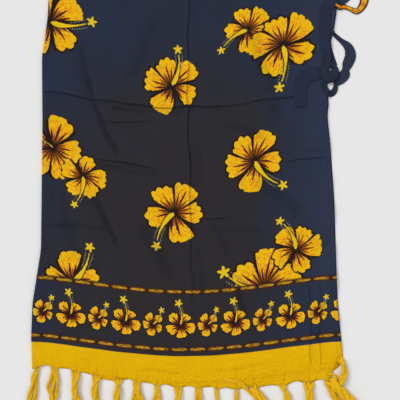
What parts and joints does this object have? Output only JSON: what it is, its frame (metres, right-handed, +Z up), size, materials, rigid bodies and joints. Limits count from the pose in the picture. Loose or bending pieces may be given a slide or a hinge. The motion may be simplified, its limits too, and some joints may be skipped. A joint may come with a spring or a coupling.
{
  "type": "wrap skirt laid flat",
  "caption": "Fringed wrap skirt of printed cloth, folded once and laid flat on a surface, with a waistband and narrow side ties.",
  "frame": {"origin": "on the flat underside, at the middle of the folded cloth", "axes": "+Z up from the surface it lies on, +Y from the fringed hem to the waistband, +X from the folded edge to the side edges with the ties"},
  "size_m": [0.648, 0.9027, 0.0169],
  "materials": {
    "printed_black": "matte woven rayon with a yellow flower print",
    "tie_black": "matte woven rayon",
    "border_yellow": "matte woven rayon",
    "fringe_gold": "twisted yarn with a soft sheen"
  },
  "bodies": {
    "root": {"skirt_panel": "printed_black", "waistband": "tie_black", "tie_run": "tie_black", "tie_loop": "tie_black", "tie_bight": "tie_black", "tie_tail": "tie_black", "tie_knot": "tie_black", "tie_yellow": "border_yellow", "fringe_upper": "fringe_gold", "fringe_lower": "fringe_gold"}
  },
  "joints": []
}
